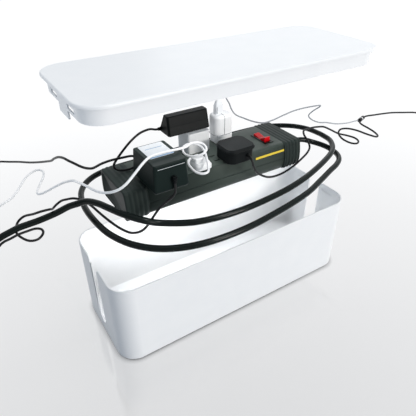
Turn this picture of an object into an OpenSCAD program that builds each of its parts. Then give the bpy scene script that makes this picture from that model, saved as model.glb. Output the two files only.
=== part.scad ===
// Cable management box, drawn open: the lid and the power strip stand above the box.
// X runs along the box, Y across it, Z up. Origin: centre of the footprint, on the table.

/* [Box] */
// Length over the walls
box_l = 406; // [400:1:416]
// Width over the walls
box_w = 152; // [150:1:160]
// Height of the rim above the table
rim_z = 133; // [130:1:140]
// Thickness of the walls and the floor
wall = 2.5; // [2:0.1:2.8]
// Corner radius in plan
corner_r = 28; // [20:1:32]
// Half width of the cable slots
slot_half = 12; // [11.5:0.5:14]
// Height of the slots' lower end above the table
slot_z = 20; // [16:1:20]

/* [Lid] */
// How far the lid is drawn above its closed place
lid_lift = 235; // [225:1:245]
// How far the plate stands out past the walls
lid_over = 3; // [1:0.5:4]
// Thickness of the plate at its edge
lid_edge = 4; // [3:0.5:6]
// Depth of the skirt below the plate
skirt_depth = 18; // [14:1:20]
// Thickness of the skirt
skirt_t = 2; // [1.5:0.1:2.3]
// Gap between the skirt and the walls
skirt_gap = 0.5; // [0.4:0.1:0.8]

/* [Feet] */
// Radius of a rubber pad
foot_r = 7; // [5:0.5:9]
// How far the pads hold the box off the table
foot_gap = 1.5; // [1:0.1:1.8]

/* [Power strip] */
// Length of the strip
strip_l = 275; // [272:1:276]
// Height of the strip
strip_h = 40; // [40:0.5:41]
// Half width of the strip at its widest
strip_half = 39; // [38.5:0.5:39]
// Distance between neighbouring sockets
socket_pitch = 31; // [30.5:0.5:31]
// Distance of each socket row from the middle line
socket_row = 19; // [18.5:0.5:19.5]

/* [Rocker switch] */
// Tilt of the rocker to either side of level, in degrees
rocker_tilt = 8; // [5:1:9]

/* [Cords] */
// Diameter of the mains cord
mains_d = 8; // [7:0.5:8]
// Diameter of the thin cords
thin_d = 3; // [2.5:0.5:3]

/* [Hidden] */
$fn = 48;

// The strip follows the lid: it travels this share of the lid's lift.
lift_share = 0.86;
strip_rise = lift_share * lid_lift;
lid_z = rim_z + 0.2 + lid_lift;           // underside of the plate's edge
floor_top = foot_gap + wall;
strip_z = floor_top + 0.4 + strip_rise;   // underside of the strip
strip_x0 = -160;                          // left end of the strip
strip_x1 = strip_x0 + strip_l;
strip_top = strip_z + strip_h;
shell_t = 2.2;                            // wall of the strip's shells
split_h = 18;                             // height of the seam between the shells
cap_l = 30;                               // length of an end cap
cap_t = 1.4;                              // how far a cap stands out round the shells
cap_end = 14;                             // closed part of a cap at its outer end
cap_face = 2.4;                           // thickness of that end's outer wall
rib_t = 1.2;                              // how far a grip rib stands out
foot_at = [for (sx = [-1, 1], sy = [-1, 1]) [sx * (box_l / 2 - 33), sy * (box_w / 2 - 26)]];
snap_y = 28;                              // middle of a snap rib and its window
snap_z = rim_z - 12;                      // height of the snap ribs
socket_x = [for (i = [0:4]) -115 + i * socket_pitch];
prong_half = 6.35;                        // half the distance between a plug's blades
earth_off = 11.9;                         // from the blades to the earth pin
tap_x = -30;                              // middle of the tap and of the socket in its top
tap_socket_y = 27;
wedge_z = strip_top + 29.1;               // underside of the wedge adapter
switch_x = 68;
switch_y = -6.4;
pivot_z = strip_top - 2;                  // axis of the rocker
terminal_x = 3.5;                         // from the switch's middle to each terminal
gland_z = strip_z + 15.5;
screw_at = [[-120, 0], [-68.5, 0], [-6.5, 0], [76, 26], [76, -27]];
bus_z = strip_z + 9;                      // underside of the bus bars
coil_turns_r = 5.5;                       // radius of a coil's middle line, in cord diameters

black = "#23262a";
olive = "#3a3e3b";
white = "#f2f3f5";
brass = "#c9a54e";

// Routes of the cords, from where each one leaves the strip to its far end.
loop_route = [
    [96, 0, 222], [118, 0, 222], [141, 0, 222], [148, -0.3, 221.6], [158, -3, 220],
    [170, -10, 216], [180, -22, 213],
    [184, -36, 211], [181, -52, 210], [171, -66, 210], [155, -76, 210], [134, -84, 210],
    [104, -96, 210.5], [64, -111, 211], [10, -122, 211], [-50, -129, 211], [-105, -126, 211],
    [-145, -112, 211], [-172, -88, 211], [-188, -56, 211], [-194, -20, 211], [-194, 18, 211],
    [-186, 52, 211], [-166, 77, 211], [-135, 89, 211], [-75, 91, 211], [0, 91, 211], [75, 91, 211],
    [125, 89, 211], [158, 80, 212.5], [183, 58, 215], [194, 30, 218], [195, 0, 220], [189, -28, 221],
    [168, -53, 221], [132, -72, 221], [77, -91, 220], [24, -102, 220], [-43, -106, 220],
    [-96, -98, 220], [-134, -82, 223], [-155, -75, 231], [-171, -62, 237], [-181, -45, 239],
    [-189, -26, 238.5], [-197, -11, 235.5], [-206, -3, 231]
];
tail_route = concat(
    [[-206.4, -2.7, 230.8], [-216, 4, 226.2], [-231, 8, 220], [-250, 11, 215.5], [-262, 13, 213.5],
        [-274, 15, 211.5], [-284, 15.5, 209]],
    fall([[-297, 15.5], [-315, 16], [-332, 17], [-350, 18], [-368, 19.5], [-386, 21.5], [-404, 24.5],
        [-422, 28], [-440, 32.5], [-453, 36]], [-290, 15.5], [-472, 40.5], mains_d)
);
white_route = concat(
    [[-61.5, -24, 259], [-65, -25, 258.8], [-69, -31, 257.5], [-70, -40, 255.5], [-68, -48, 253],
        [-62, -54, 252], [-54.5, -54, 252.5], [-50, -47, 256], [-46, -37, 262], [-42.5, -26, 266],
        [-42, -16, 268], [-48, -9, 270], [-57, -7.5, 271], [-66, -12, 270], [-69.5, -22, 268],
        [-67.5, -32, 268], [-61, -40, 270], [-53, -42, 272.5], [-46.5, -37.5, 275],
        [-46.5, -30, 278], [-54, -27, 281], [-65, -31, 284],
        [-78, -41, 287], [-92, -46, 290], [-108, -46, 291], [-126, -47, 291], [-140, -54, 289],
        [-154, -62, 284], [-167, -66, 277], [-176, -61, 270], [-184, -48, 263], [-190, -32, 259],
        [-195, -17, 259], [-200, -8, 260.5], [-205, -2, 262], [-208, 14, 254], [-211, 36, 241],
        [-218, 54, 228], [-227, 66, 218], [-234, 75, 212], [-235, 86, 209], [-227, 105, 208],
        [-216, 126, 208], [-213, 142, 208], [-221, 149, 208], [-238, 136, 208], [-252, 114, 207],
        [-266, 97, 205], [-282, 89, 203.7]],
    fall([[-293, 87.5], [-305, 87.5], [-317, 89], [-330, 91], [-343, 93.5], [-356, 95.5],
        [-369, 97], [-382, 97.8], [-396, 98.2]], [-282, 89], [-387, 97], thin_d)
);
brick_route = concat(
    [[-109, -69, 261.9], [-109, -69.2, 257.5], [-109.5, -69.5, 251], [-113, -69.5, 245],
        [-121, -69, 240.5], [-130, -68, 234.5], [-138, -67, 225], [-146, -67.5, 216.5],
        [-156, -70, 213], [-167, -67.5, 213], [-175, -57, 215], [-182, -42, 219],
        [-187, -25, 222], [-192, -8, 226], [-199, 4, 230], [-206.5, 11, 231], [-213, 18, 228],
        [-218.5, 25.5, 223.5], [-225.5, 27.5, 218.5], [-231.5, 21.5, 218.5], [-234.5, 12, 225],
        [-239.5, 5, 230], [-247.5, 6.5, 229.5], [-255, 17, 222.5], [-264, 29, 215.5],
        [-273, 29, 209.5], [-278, 18, 204.6], [-275, 5, 203.8], [-268.5, -6.5, 204],
        [-259.5, -9.5, 204.7], [-252, -3, 205.6], [-251.5, 4.5, 206.6], [-257.5, 9, 207.2],
        [-267, 8.7, 207.5], [-277, 8, 207.4], [-286, 8, 205.2]],
    fall([[-297, 8], [-308, 7], [-320, 5.5], [-332, 3], [-344, 0], [-356, -3.5], [-368, -6.5],
        [-381, -9.3], [-394, -11], [-406, -11.4]], [-292, 8], [-396, -10], thin_d)
);
wedge_route = concat(
    [[-76.4, 36, 280], [-80.5, 35.5, 281], [-88, 32.5, 284.5], [-97, 29, 286], [-108, 26, 285],
        [-122, 22.5, 279], [-135, 18.5, 271], [-145, 16.5, 262.5], [-149.5, 15.5, 256],
        [-145.5, 13.5, 250.5], [-135, 11, 248.8], [-125, 10.5, 249.8], [-118, 10.5, 254.5],
        [-118.5, 10.5, 261], [-126, 10.5, 266], [-139, 10, 267.5], [-154, 7.5, 269.5],
        [-169, 1, 272], [-182, -9, 275], [-190, -13, 279], [-196, -11, 282], [-201, -6, 285],
        [-206, 2, 287], [-208, 12, 286], [-210, 27, 281], [-211, 48, 270], [-211, 70, 257],
        [-213, 95, 245], [-218, 122, 233], [-226, 150, 222], [-236, 176, 214], [-248, 197, 208],
        [-261, 214, 203.9]],
    fall([[-269, 223], [-278, 232], [-288, 241], [-299, 249], [-311, 256], [-324, 262],
        [-338, 266.5], [-351, 269], [-360, 269.4]], [-261, 214], [-342, 260], thin_d)
);
grey_route = [
    [13, 26, 307.1], [13, 26.2, 310.5], [15.5, 27, 313.5], [20, 28.5, 314], [25.5, 30.5, 309.5],
    [31, 33, 302], [38, 35, 292],
    [44, 37, 281], [51, 36, 272], [62, 32, 266], [72, 22, 262], [84, 13, 260], [100, 11, 261],
    [118, 12, 263], [140, 12, 266], [158, 9, 268], [174, 3, 270], [185, 0, 270], [188, 3, 266],
    [182, 9, 259], [175, 11, 252], [178, 6, 246], [189, 0, 241], [204, -2, 238], [225, -2, 231],
    [245, 2, 225], [265, 6, 220], [285, 11, 216], [302, 14, 213.4]
];
flat_route = [
    [9, -52.8, 256], [9, -56.5, 255], [9.5, -60, 250.5], [11.5, -61, 243], [17.5, -60.5, 233],
    [29, -58, 223], [44, -55, 214], [62, -51, 208.5], [80, -49, 208.5], [98, -47, 212],
    [114, -45, 218], [128, -41, 222], [138, -35, 226], [141.5, -26, 232], [143.5, -15, 237],
    [150, -7, 239], [160, -4, 238], [175, -1, 236], [189, 1, 233], [204, 2, 229],
    [219, 0.5, 221], [234, -5, 212.5], [246, -13, 209.2], [251.5, -25, 208.2], [248, -36, 208],
    [239, -41, 208], [231, -35, 208.5], [227.5, -21, 210.5], [230, -8.5, 214.5],
    [238, -4, 218.5], [248, -10, 220], [259, -21, 218], [270, -33, 213.5], [281, -43, 210],
    [289.5, -40.5, 209], [294, -29, 210], [296, -14, 211], [297, -1, 211.5], [299.3, 6.5, 212.2],
    [303, 10.2, 212.7]
];
right_route = concat(
    [[321.6, 18.8, 213], [333, 20, 212.5], [348, 17, 212], [368, 14, 211], [391, 11, 209],
        [415, 4, 206.5], [441, -6, 203.9]],
    fall([[449, -13], [457, -22], [464, -33], [470.5, -45], [476.5, -58], [482, -71], [487, -84],
        [490.5, -95], [493, -105]], [441, -6], [484, -91], thin_d)
);

// Heights for the plan points of a cord that falls from the strip's level to the table, between
// two plan points, so that it lies flat once the strip is down in the box.
function fall(plan, from, to, d) =
    let (way = to - from)
    [for (p = plan) let (s = min((p - from) * way / (way * way), 1))
        [p[0], p[1], d / 2 + 0.1 + strip_rise * (1 - s * s * (3 - 2 * s))]];

// Half width of the strip's section at a height above its underside.
function half_at(h) = strip_half - (h < 12 ? 5 * pow((12 - h) / 12, 2) : 4.5 * pow((h - 12) / 28, 2));
function section_side(inset, low, high) =
    [for (h = [low : (high - low) / 14 : high + 0.01]) [half_at(h) - inset, h]];

module rounded_plate(l, w, r, h) {
    linear_extrude(h) {
        square([l - 2 * r, w], center = true);
        square([l, w - 2 * r], center = true);
        for (sx = [-1, 1], sy = [-1, 1])
            translate([sx * (l / 2 - r), sy * (w / 2 - r)]) circle(r);
    }
}

// A length of the strip's outline along X, cut between two heights.
module strip_slice(x0, x1, inset, low, high) {
    side = section_side(inset, low, high);
    outline = concat(side, [for (i = [len(side) - 1 : -1 : 0]) [-side[i][0], side[i][1]]]);
    translate([x0, 0, strip_z]) rotate([90, 0, 90]) linear_extrude(x1 - x0) polygon(outline);
}

// A box that stands on z, with its middle at x and y.
module block(x, y, z, size) {
    translate([x - size[0] / 2, y - size[1] / 2, z]) cube(size);
}

// A tube swept along a smooth line through the route's points.
function along(p, i, t) =
    let (a = p[max(i - 1, 0)], b = p[i], c = p[i + 1], d = p[min(i + 2, len(p) - 1)])
    0.5 * (2 * b + (c - a) * t + (2 * a - 5 * b + 4 * c - d) * t * t + (3 * b - a - 3 * c + d) * t * t * t);
function smooth(p, steps) = concat(
    [for (i = [0 : len(p) - 2], k = [0 : steps - 1]) along(p, i, k / steps)], [p[len(p) - 1]]);
function unit(v) = v / norm(v);

module tube(route, d, steps = 1) {
    sides = 8;
    line = smooth(route, steps);
    last = len(line) - 1;
    points = [for (i = [0 : last])
        let (way = unit(line[min(i + 1, last)] - line[max(i - 1, 0)]),
             across = unit(cross(way, [0, 0, 1])),
             above = cross(across, way))
        for (k = [0 : sides - 1])
            line[i] + d / 2 * (cos(360 * k / sides) * across + sin(360 * k / sides) * above)];
    walls = [for (i = [0 : last - 1], k = [0 : sides - 1])
        let (n = (k + 1) % sides)
        [i * sides + k, i * sides + n, (i + 1) * sides + n, (i + 1) * sides + k]];
    ends = [[for (k = [sides - 1 : -1 : 0]) k], [for (k = [0 : sides - 1]) last * sides + k]];
    polyhedron(points, concat(walls, ends), convexity = 10);
}

// The outer shape of a round coil that lies on the table.
module coil(x, y, d, layers) {
    side = layers * d;
    translate([x, y, 0.1]) rotate_extrude() translate([coil_turns_r * d - side / 2, 0]) square(side);
}

module slot_cut(x) {
    shoulder = 10;
    wide = slot_half + shoulder;
    translate([x - 2 * wall, 0, 0]) rotate([90, 0, 90]) linear_extrude(4 * wall) {
        translate([0, slot_z + slot_half]) circle(slot_half);
        translate([-slot_half, slot_z + slot_half]) square([2 * slot_half, rim_z]);
        difference() {
            translate([-wide, rim_z - shoulder]) square([2 * wide, 2 * shoulder]);
            for (s = [-1, 1]) translate([s * wide, rim_z - shoulder]) circle(shoulder);
        }
    }
}

module base_box() color(white) {
    difference() {
        translate([0, 0, foot_gap]) rounded_plate(box_l, box_w, corner_r, rim_z - foot_gap);
        translate([0, 0, floor_top])
            rounded_plate(box_l - 2 * wall, box_w - 2 * wall, corner_r - wall, rim_z);
        for (s = [-1, 1]) slot_cut(s * (box_l / 2 - wall / 2));
        for (p = foot_at) translate([p[0], p[1], 0]) cylinder(r = foot_r, h = foot_gap + 0.8);
    }
    for (sx = [-1, 1], sy = [-1, 1])
        block(sx * (box_l / 2 - wall - 0.2), sy * snap_y, snap_z - 1, [1.4, 20, 2]);
}

module lid() color(white) {
    in_l = box_l - 2 * wall - 2 * skirt_gap;
    in_w = box_w - 2 * wall - 2 * skirt_gap;
    in_r = corner_r - wall - skirt_gap;
    hollow = skirt_depth + lid_edge - wall + 1;
    difference() {
        union() {
            translate([0, 0, lid_z])
                rounded_plate(box_l + 2 * lid_over, box_w + 2 * lid_over, corner_r + lid_over, lid_edge);
            translate([0, 0, lid_z - skirt_depth]) rounded_plate(in_l, in_w, in_r, skirt_depth + 1);
        }
        translate([0, 0, lid_z - skirt_depth - 1])
            rounded_plate(in_l - 2 * skirt_t, in_w - 2 * skirt_t, in_r - skirt_t, hollow);
        for (sx = [-1, 1], sy = [-1, 1])
            block(sx * in_l / 2, sy * snap_y, snap_z + lid_lift - 2.5, [4 * skirt_t, 22, 5]);
    }
    for (sx = [-1, 1])
        block(sx * (in_l - skirt_t) / 2, 0, lid_z - skirt_depth - 10, [skirt_t, 30, 12]);
}

module rubber_feet() color(black)
    for (p = foot_at) translate([p[0], p[1], 0]) cylinder(r = foot_r, h = foot_gap + 0.8);

module gland_hole()
    translate([strip_x1 - cap_end - 4, 0, gland_z]) rotate([0, 90, 0]) cylinder(r = 7.2, h = 30);

// The strip's shells meet at a seam along the sides. Ribs carry the bus bars.
module strip_lower_shell() color(olive) {
    x0 = strip_x0 + cap_end;
    x1 = strip_x1 - cap_end;
    difference() {
        union() {
            difference() {
                strip_slice(x0, x1, 0, 0, split_h);
                strip_slice(x0 + shell_t, x1 - shell_t, shell_t, shell_t, split_h + 1);
            }
            for (p = screw_at) translate([p[0], p[1], strip_z + 1]) cylinder(r = 5, h = 6.8);
            for (i = [0:4], s = [-1, 1])
                block(-104 + 33 * i, s * 20, strip_z + 1.5, [1.6, 19, 7.4]);
        }
        for (p = screw_at) translate([p[0], p[1], strip_z - 1]) {
            cylinder(r = 1.8, h = 20);
            cylinder(r = 3.4, h = 3.4);
        }
        gland_hole();
    }
}

module socket_cut(x, y) {
    for (s = [-1, 1]) block(x, y + s * prong_half, strip_top - 4, [8, 2, 6]);
    translate([x + earth_off, y, strip_top - 4]) cylinder(r = 2.6, h = 6);
}

module strip_upper_shell() color(olive) {
    x0 = strip_x0 + cap_end;
    x1 = strip_x1 - cap_end;
    difference() {
        union() {
            difference() {
                strip_slice(x0, x1, 0, split_h, strip_h);
                strip_slice(x0 + shell_t, x1 - shell_t, shell_t, split_h - 1, strip_h - shell_t);
            }
            for (p = screw_at) translate([p[0], p[1], strip_z + 8]) cylinder(r = 3.5, h = strip_h - 9);
        }
        for (p = screw_at) translate([p[0], p[1], strip_z]) cylinder(r = 1.5, h = 32);
        for (x = socket_x, s = [-1, 1]) socket_cut(x, s * socket_row);
        block(switch_x, switch_y, strip_top - 6, [13, 31, 10]);
        gland_hole();
    }
}

// An end cap: a closed end, and two ribbed cheeks along the sides of both shells.
module end_cap(outer, step) {
    face = outer + step * cap_face;
    seat = outer + step * cap_end;
    inner = outer + step * cap_l;
    difference() {
        union() {
            strip_slice(min(outer, inner), max(outer, inner), -cap_t, 0, strip_h);
            for (k = [0:3]) let (x = outer + step * (8 + 6 * k))
                strip_slice(x - 1.5, x + 1.5, -cap_t - rib_t, 2, strip_h);
        }
        strip_slice(min(seat, inner + step), max(seat, inner + step), -0.1, -1, strip_h + 1);
        strip_slice(min(face, seat + step), max(face, seat + step), shell_t, shell_t, strip_h - shell_t);
        if (step < 0) gland_hole();
    }
}

module end_cap_left() color(olive) end_cap(strip_x0, 1);
module end_cap_right() color(olive) end_cap(strip_x1, -1);

// A pair of long bars under both rows, with spring leaves below each hole and a link across.
module bus(offset, x0, x1, link_x, hole_shift, leaf_gap) {
    for (s = [-1, 1]) {
        y = s * offset;
        translate([x0, y - 1.5, bus_z]) cube([x1 - x0, 3, 1]);
        for (x = socket_x, t = [-1, 1])
            block(x + hole_shift, y + t * (leaf_gap / 2 + 0.25), bus_z + 0.5, [7, 0.5, 26]);
    }
    translate([link_x, -offset - 1.5, bus_z]) cube([3, 2 * offset + 3, 1]);
}

module live_bus() color(brass) bus(socket_row + prong_half, -121, 50, 47, 0, 1.8);
module neutral_bus() color(brass) bus(socket_row - prong_half, -121, 40, 37, 0, 1.8);
module earth_bus() color(brass) bus(socket_row, -133, 25, -133, earth_off, 2);

// The wires run from the cord's inner end. Their heights are above the strip's underside.
module wire(points) tube([for (p = points) [p[0], p[1], strip_z + p[2]]], 2.2);
module live_wire() color("saddlebrown") {
    wire([[95.6, -2.4, 16.5], [86, -4.2, 16], [72.3, -6.4, 15]]);
    wire([[63.7, -6.4, 13], [58, -5.2, 11.5], [50.2, -4.5, 9.7]]);
}
module neutral_wire() color("royalblue")
    wire([[95.6, 2, 13.5], [88, 3, 12], [80, 4, 11.2], [60, 4, 11.2], [37.5, 4, 11.2]]);
module earth_wire() color("yellowgreen")
    wire([[95.3, 3, 17], [91, 6, 14], [84, 7.5, 9], [77, 7.5, 7.8], [0, 7.5, 7.8], [-132, 7.5, 7.8]]);

module switch_housing() color(black) difference() {
    union() {
        block(switch_x, switch_y, strip_top - 22, [12.6, 30.6, 22.5]);
        block(switch_x, switch_y, strip_top, [15.4, 33.4, 1.2]);
    }
    block(switch_x, switch_y, pivot_z - 12, [10.2, 28, 30]);
    translate([switch_x - 7, switch_y, pivot_z]) rotate([0, 90, 0]) cylinder(r = 1.45, h = 14);
    for (s = [-1, 1]) block(switch_x + terminal_x * s, switch_y, strip_top - 23, [0.8, 6.3, 12]);
}

module switch_terminals() color(brass)
    for (s = [-1, 1]) block(switch_x + terminal_x * s, switch_y, strip_top - 30, [0.8, 6.3, 18]);

module rocker() color("crimson")
    translate([switch_x, switch_y, pivot_z]) rotate([-rocker_tilt, 0, 0]) {
        translate([-4.9, 0, 0]) rotate([90, 0, 90]) linear_extrude(9.8)
            polygon([[-12.9, 7.6], [-1, 3.8], [1, 3.8], [12.9, 7.6], [12, -4], [-12, -4]]);
        translate([-6.1, 0, 0]) rotate([0, 90, 0]) cylinder(r = 1.4, h = 12.2);
    }

module strip_screws() color("silver")
    for (p = screw_at) translate([p[0], p[1], strip_z + 0.4]) {
        cylinder(r = 3, h = 2);
        cylinder(r = 1.45, h = 28);
    }

// The gland and its bending sleeve, one turned piece with the cord's bore through it.
module cord_gland() color(black) translate([strip_x1, 0, gland_z]) rotate([0, 90, 0]) rotate_extrude()
    polygon([[4.1, -14], [7, -14], [7, -cap_face - 2.5], [9, -cap_face - 2.5], [9, -cap_face],
        [7, -cap_face], [7, 0], [8.5, 0], [8.5, 2.5], [7, 4], [5.3, 26], [4.1, 26]]);

module stripe_label() color("gold") {
    low = half_at(29) + 0.05;
    high = half_at(32) + 0.05;
    translate([34, 0, strip_z]) rotate([90, 0, 90]) linear_extrude(50.5)
        polygon([[-low, 29], [-high, 32], [-high - 0.4, 32], [-low - 0.4, 29]]);
}

module brick_adapter() color(black) {
    hull() for (end = [0, 1], sx = [0, 1], sy = [0, 1])
        translate([sx ? -91 - 2 * end : -131 + 2 * end, sy ? -9 - 2 * end : -63.5 + 2 * end,
            strip_top + 3.5 + 36 * end]) cylinder(r = 3, h = 0.5, $fn = 16);
    block(-112, -19, strip_top, [30, 26, 4]);
    translate([-109, -69, 262]) cylinder(r1 = 2, r2 = 3, h = 7);
    block(-109, -66.5, 264, [5, 4, 6]);
}

module brick_label() color(white) block(-111, -28, strip_top + 40, [31, 35, 0.4]);

// A wedge along X with a narrow top. It stands on the tap.
module wedge_adapter() color(black) {
    hull() {
        for (x = [-68.5, -11.5], y = [16, 39]) translate([x, y, wedge_z]) cylinder(r = 3, h = 1, $fn = 16);
        for (x = [-66.5, -11], y = [23, 30]) translate([x, y, 298]) cylinder(r = 3, h = 2, $fn = 16);
    }
    translate([-76, 36, 280]) rotate([0, 90, 0]) cylinder(r1 = 2, r2 = 3, h = 10);
}

// The wedge adapter's blades go into the socket in the top of the tap.
module cube_tap() color(white) difference() {
    block(tap_x, 21, strip_top, [34, 30, 29]);
    for (s = [-1, 1]) block(tap_x, tap_socket_y + s * prong_half, wedge_z - 16, [8, 2.4, 17]);
}

module tall_charger() color(white) {
    hull() for (x = [8.5, 24], y = [17, 28])
        translate([x, y, strip_top]) cylinder(r = 6, h = 12, $fn = 24);
    hull() for (x = [9.5, 23], y = [21, 28])
        translate([x, y, strip_top + 11.9]) cylinder(r = 8, h = 28, $fn = 32);
}

module charger_plug() color("lightgray") block(13, 26, strip_top + 39.9, [12, 8, 20.6]);

module flat_plug() color(black) {
    hull() for (x = [-8, 12], y = [-21.5, -40])
        translate([x, y, strip_top]) cylinder(r = 10, h = 17, $fn = 32);
    hull() for (x = [-9, 13], y = [-23.5, -40])
        translate([x, y, strip_top + 17]) cylinder(r1 = 12, r2 = 10, h = 4, $fn = 32);
    translate([9, -46, 256]) rotate([90, 0, 0]) cylinder(r = 3.2, h = 6.5);
}

module white_plug() color(white) {
    hull() for (x = [-58, -39], y = [-39, -15.5])
        translate([x, y, strip_top]) cylinder(r = 4, h = 9, $fn = 24);
    block(-54, -27, strip_top + 8.9, [12, 14, 6]);
    translate([-55, -24, 259]) rotate([0, -90, 0]) cylinder(r = 2.4, h = 6);
}

// The flat blades of every plug and adapter, each pair in its socket.
module plug_blades() color(brass) {
    plugs = [[0, -1], [2, -1], [4, -1], [3, 1], [4, 1]];
    for (p = plugs, s = [-1, 1])
        block(socket_x[p[0]], p[1] * socket_row + s * prong_half, strip_top - 17, [6.3, 1.5, 17]);
    for (s = [-1, 1]) block(tap_x, tap_socket_y + s * prong_half, wedge_z - 15.2, [6.3, 1.5, 15.2]);
}

module mains_loop() color(black) tube(loop_route, mains_d, 2);
module mains_tail() color(black) tube(tail_route, mains_d);
module mains_coil() color(black) coil(-480, 90, mains_d, 2);
module mains_plug() color(black) {
    block(-528, 161, 0.1, [26, 38, 24]);
    translate([-528, 142, 12.1]) rotate([90, 0, 0]) cylinder(r1 = 7, r2 = 4.6, h = 22);
}
module mains_plug_blades() color(brass) {
    for (s = [-1, 1]) block(-528 + s * prong_half, 188.5, 12.5, [1.5, 17, 6.3]);
    translate([-528, 180, 5.5]) rotate([-90, 0, 0]) cylinder(r = 2.4, h = 19);
}

module white_cord() color(white) tube(white_route, thin_d);
module white_coil() color(white) coil(-409, 118, thin_d, 3);
module white_connector() color(white) barrel(-387, 134.5, 0);
module brick_cord() color(black) tube(brick_route, thin_d);
module brick_coil() color(black) coil(-419, -31, thin_d, 3);
module brick_connector() color(black) barrel(-397, -47.5, 0);
module wedge_cord() color(black) tube(wedge_route, thin_d);
module wedge_coil() color(black) coil(-372, 250, thin_d, 3);
module wedge_connector() color(black) barrel(-350, 233.5, 0);

// A round plug for a device: a grip and a metal barrel, on the table beside its coil.
module barrel(x, y, turn) translate([x, y, 4.6]) rotate([0, 0, turn]) rotate([0, 90, 0]) {
    cylinder(r = 4.5, h = 18);
    cylinder(r = 2.75, h = 27.5);
}

module grey_cord() color("darkgray") tube(grey_route, thin_d * 2 / 3);
module flat_cord() color(black) tube(flat_route, thin_d);

// Two thin cords come together here and go on as one.
module inline_joiner() color(black)
    translate([303, 12, 213]) rotate([0, 90, 20]) cylinder(r = 3.6, h = 19.4);
module right_cord() color(black) tube(right_route, thin_d);
module right_coil() color(black) coil(474, -118, thin_d, 3);
module right_connector() color(black) barrel(452, -134.5, 180);

base_box();
lid();
rubber_feet();
strip_lower_shell();
strip_upper_shell();
end_cap_left();
end_cap_right();
live_bus();
neutral_bus();
earth_bus();
live_wire();
neutral_wire();
earth_wire();
switch_housing();
switch_terminals();
rocker();
strip_screws();
cord_gland();
stripe_label();
brick_adapter();
brick_label();
wedge_adapter();
cube_tap();
tall_charger();
charger_plug();
flat_plug();
white_plug();
plug_blades();
mains_loop();
mains_tail();
mains_coil();
mains_plug();
mains_plug_blades();
white_cord();
white_coil();
white_connector();
brick_cord();
brick_coil();
brick_connector();
wedge_cord();
wedge_coil();
wedge_connector();
grey_cord();
flat_cord();
inline_joiner();
right_cord();
right_coil();
right_connector();
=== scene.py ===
"""Blender model of a cable management box with its power strip, shown opened up.

Sizes and points are in mm until piece() makes a mesh of them. The camera, the lamps and the shaders are in
metres.
"""
import math

import bmesh
import bpy
from mathutils import Matrix, Vector


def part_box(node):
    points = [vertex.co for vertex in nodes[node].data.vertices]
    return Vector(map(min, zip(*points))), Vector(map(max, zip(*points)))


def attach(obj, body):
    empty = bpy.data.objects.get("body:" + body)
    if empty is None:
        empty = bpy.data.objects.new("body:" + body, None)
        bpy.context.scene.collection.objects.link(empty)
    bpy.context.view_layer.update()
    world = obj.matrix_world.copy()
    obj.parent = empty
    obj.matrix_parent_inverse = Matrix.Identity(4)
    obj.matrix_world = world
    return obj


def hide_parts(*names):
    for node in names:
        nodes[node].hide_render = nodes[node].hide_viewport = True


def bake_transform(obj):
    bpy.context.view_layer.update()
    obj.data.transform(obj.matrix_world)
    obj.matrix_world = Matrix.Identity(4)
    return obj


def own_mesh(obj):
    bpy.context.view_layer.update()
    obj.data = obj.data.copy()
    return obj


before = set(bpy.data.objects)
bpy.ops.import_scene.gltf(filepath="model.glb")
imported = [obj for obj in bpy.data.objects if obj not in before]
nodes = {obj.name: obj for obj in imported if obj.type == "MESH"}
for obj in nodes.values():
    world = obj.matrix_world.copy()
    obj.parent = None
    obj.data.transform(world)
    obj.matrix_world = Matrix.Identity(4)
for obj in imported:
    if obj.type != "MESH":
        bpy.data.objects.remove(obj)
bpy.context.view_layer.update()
MM = 0.001


def extent(node):
    """A CAD node's lowest and highest x, y and z at rest, in mm."""
    low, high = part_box(node)
    return [round(value / MM, 2) for pair in zip(low, high) for value in pair]


STRIP_Z = extent("strip_lower_shell")[4]    # underside of the strip
STRIP_TOP = extent("strip_upper_shell")[5]  # its top face
STRIP_H = STRIP_TOP - STRIP_Z
STRIP_RISE = 202.1                          # how far the strip stands above its place in the box
LID_TOP = extent("lid")[5]
MAINS_D = 8                                 # thickness of the mains cord
THIN_D = 3                                  # of an adapter's cord
FINE_D = 2                                  # of the charger's cord
LYING_GAP = 0.1                             # between the table and a cord that lies on it
LEAST_GAP = 0.05                            # what smoothing may leave of that gap

bpy.context.scene.view_settings.view_transform = "Standard"


# ---------------------------------------- camera

YAW = 0.569     # turn of the view from +Y towards +X, in radians
PITCH = 0.605   # its tilt towards the table
EYE = Vector((-0.3041, -0.4439, 0.5182))

camera_data = bpy.data.cameras.new("camera")
camera_data.sensor_fit = "HORIZONTAL"
camera_data.sensor_width = 36.0
camera_data.lens = 37.306
camera_data.clip_start = 0.05
camera_data.clip_end = 30.0
camera = bpy.data.objects.new("camera", camera_data)
bpy.context.scene.collection.objects.link(camera)
forward = Vector((math.sin(YAW) * math.cos(PITCH), math.cos(YAW) * math.cos(PITCH), -math.sin(PITCH)))
right = Vector((math.cos(YAW), -math.sin(YAW), 0.0))
turn = Matrix((right, right.cross(forward), -forward)).transposed().to_4x4()
camera.matrix_world = Matrix.Translation(EYE) @ turn
bpy.context.scene.camera = camera


# ---------------------------------------- shader nodes

def shader_node(tree, kind, inputs=(), **settings):
    """A shader node with its settings and its inputs, each a value or the output that feeds it."""
    made = tree.nodes.new("ShaderNode" + kind)
    for name, value in settings.items():
        setattr(made, name, value)
    for name, value in dict(inputs).items():
        if isinstance(value, bpy.types.NodeSocket):
            tree.links.new(value, made.inputs[name])
        else:
            made.inputs[name].default_value = value
    return made


def maths(tree, operation, *values):
    """The result of a Math node."""
    return shader_node(tree, "Math", enumerate(values), operation=operation).outputs["Value"]


def vector_maths(tree, operation, *values):
    """The result of a Vector Math node, which is a number for a distance or a dot product."""
    made = shader_node(tree, "VectorMath", enumerate(values), operation=operation)
    return made.outputs["Value" if operation in ("DISTANCE", "DOT_PRODUCT") else "Vector"]


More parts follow.
